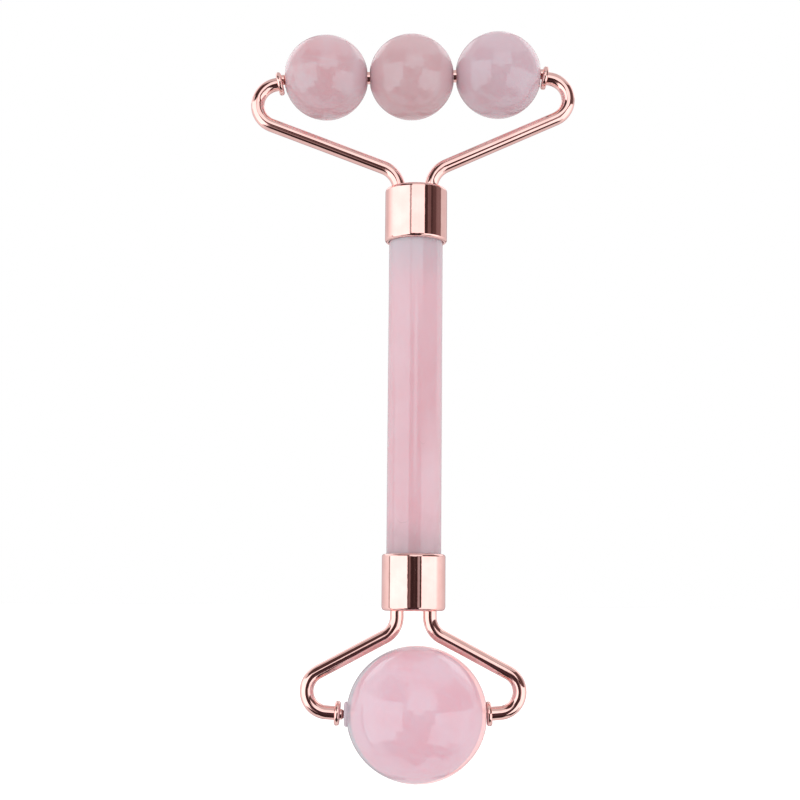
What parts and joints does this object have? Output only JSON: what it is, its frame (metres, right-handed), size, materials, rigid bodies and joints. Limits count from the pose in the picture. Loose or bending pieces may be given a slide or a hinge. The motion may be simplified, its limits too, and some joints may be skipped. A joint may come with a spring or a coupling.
{
  "type": "face roller",
  "caption": "Double-ended face roller: a row of small stone balls on one wire yoke, one large stone ball on the other, and a round stone handle between metal ferrules.",
  "frame": {"origin": "middle of the lower ferrule's flat end face, between the two wire legs", "axes": "+Z along the handle from the large ball to the row of small balls, +X along the roller axles, the wire yokes lie in the XZ plane"},
  "size_m": [0.0736, 0.0294, 0.1677],
  "materials": {
    "handle_stone": "polished",
    "small_ball_stone": "polished",
    "large_ball_stone": "polished",
    "rose_gold": "polished plating",
    "bush_nylon": "satin",
    "adhesive": "satin"
  },
  "bodies": {
    "handle": {"handle_rod": "handle_stone", "upper_ferrule": "rose_gold", "lower_ferrule": "rose_gold", "upper_potting": "adhesive", "lower_potting": "adhesive", "upper_yoke": "rose_gold", "lower_yoke": "rose_gold", "upper_left_collar": "rose_gold", "upper_right_collar": "rose_gold", "lower_left_collar": "rose_gold", "lower_right_collar": "rose_gold"},
    "small_axle": {"axle_tube": "rose_gold", "left_axle_bush": "rose_gold", "right_axle_bush": "rose_gold"},
    "left_ball": {"left_small_ball": "small_ball_stone"},
    "middle_ball": {"middle_small_ball": "small_ball_stone"},
    "right_ball": {"right_small_ball": "small_ball_stone"},
    "large_roller": {"large_ball": "large_ball_stone", "left_ball_bush": "bush_nylon", "right_ball_bush": "bush_nylon"}
  },
  "joints": [
    {"name": "small_axle_spin", "type": "hinge", "parent": "handle", "child": "small_axle", "pos_m": [-0.0011, 0, 0.12049], "axis": [0.9995, 0, 0.0314], "continuous": true},
    {"name": "left_ball_spin", "type": "hinge", "parent": "small_axle", "child": "left_ball", "pos_m": [-0.0207, 0, 0.12017], "axis": [0.9995, 0, 0.0314], "continuous": true},
    {"name": "middle_ball_spin", "type": "hinge", "parent": "small_axle", "child": "middle_ball", "pos_m": [-0.00125, 0, 0.12048], "axis": [0.9995, 0, 0.0314], "continuous": true},
    {"name": "right_ball_spin", "type": "hinge", "parent": "small_axle", "child": "right_ball", "pos_m": [0.01849, 0, 0.1211], "axis": [0.9995, 0, 0.0314], "continuous": true},
    {"name": "large_roller_spin", "type": "hinge", "parent": "handle", "child": "large_roller", "pos_m": [0.0001, 0, -0.02215], "axis": [1, 0, 0.0044], "continuous": true}
  ]
}
